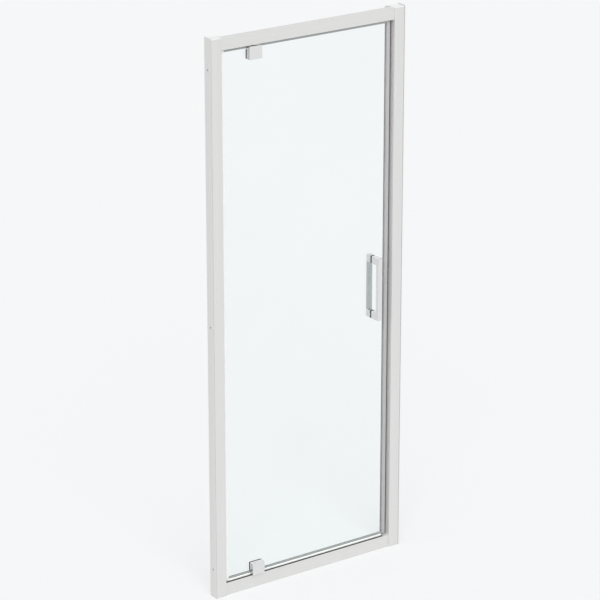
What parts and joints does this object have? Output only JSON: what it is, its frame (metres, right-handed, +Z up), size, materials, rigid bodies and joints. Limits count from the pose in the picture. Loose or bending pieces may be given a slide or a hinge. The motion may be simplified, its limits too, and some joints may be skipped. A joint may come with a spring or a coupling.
{
  "type": "shower door",
  "caption": "Framed pivot door for a shower recess: a clear glass leaf on offset pivots between two wall posts and two rails, with a D handle on each face and flexible seals.",
  "frame": {"origin": "on the tray, midway between the two walls, in the middle plane of the closed glass", "axes": "+X from the left wall to the right wall as seen from the room, +Y from the room into the shower, +Z up"},
  "size_m": [0.75, 0.07, 1.903],
  "materials": {
    "frame_aluminium": "satin anodised, drawn along each extrusion",
    "cap_plastic": "fine moulded grain",
    "glass": "clear toughened glass with ground green edges",
    "chrome": "polished chrome",
    "pin_brass": "machined brass",
    "steel": "bright stainless steel",
    "nylon": "natural nylon",
    "clear_seal": "clear flexible strip",
    "grey_seal": "pale grey flexible strip",
    "white_bulb": "translucent white flexible strip",
    "dark_rubber": "black rubber",
    "magnet": "dark bonded magnet strip"
  },
  "bodies": {
    "frame": {"wall_channel_left": "frame_aluminium", "wall_channel_right": "frame_aluminium", "post_left": "frame_aluminium", "post_right": "frame_aluminium", "top_rail": "frame_aluminium", "bottom_rail": "frame_aluminium", "strike_profile": "frame_aluminium", "post_cap_left": "cap_plastic", "post_cap_right": "cap_plastic", "screw_covers": "cap_plastic", "rail_screws": "steel", "adjusting_screws": "steel", "strike_rivets": "steel", "insert_screws": "steel", "pivot_bush_bottom": "nylon", "pivot_bush_top": "nylon", "pivot_insert_bottom": "nylon", "pivot_insert_top": "nylon", "pivot_side_bulb": "white_bulb", "sill_strip": "dark_rubber", "strike_buffer": "dark_rubber", "frame_magnet": "magnet"},
    "door": {"glass_panel": "glass", "pivot_plate_outer_bottom": "chrome", "pivot_plate_inner_bottom": "chrome", "pin_carrier_bottom": "pin_brass", "pivot_pin_bottom": "steel", "pivot_plate_outer_top": "chrome", "pivot_plate_inner_top": "chrome", "pin_carrier_top": "pin_brass", "pivot_pin_top": "steel", "pivot_gaskets_outer": "dark_rubber", "pivot_gaskets_inner": "dark_rubber", "clamp_screws": "steel", "handle_outer": "chrome", "handle_inner": "chrome", "handle_studs": "steel", "handle_sleeves": "nylon", "handle_gaskets_outer": "dark_rubber", "handle_gaskets_inner": "dark_rubber", "grub_screws": "steel", "pivot_edge_seal": "clear_seal", "closing_edge_seal": "grey_seal", "door_magnet": "magnet", "bottom_wiper": "clear_seal", "top_seal": "clear_seal"}
  },
  "joints": [
    {"name": "door_pivot", "type": "hinge", "parent": "frame", "child": "door", "pos_m": [-0.2085, 0, 0.95], "axis": [0, 0, -1], "range_deg": [0, 90]}
  ]
}
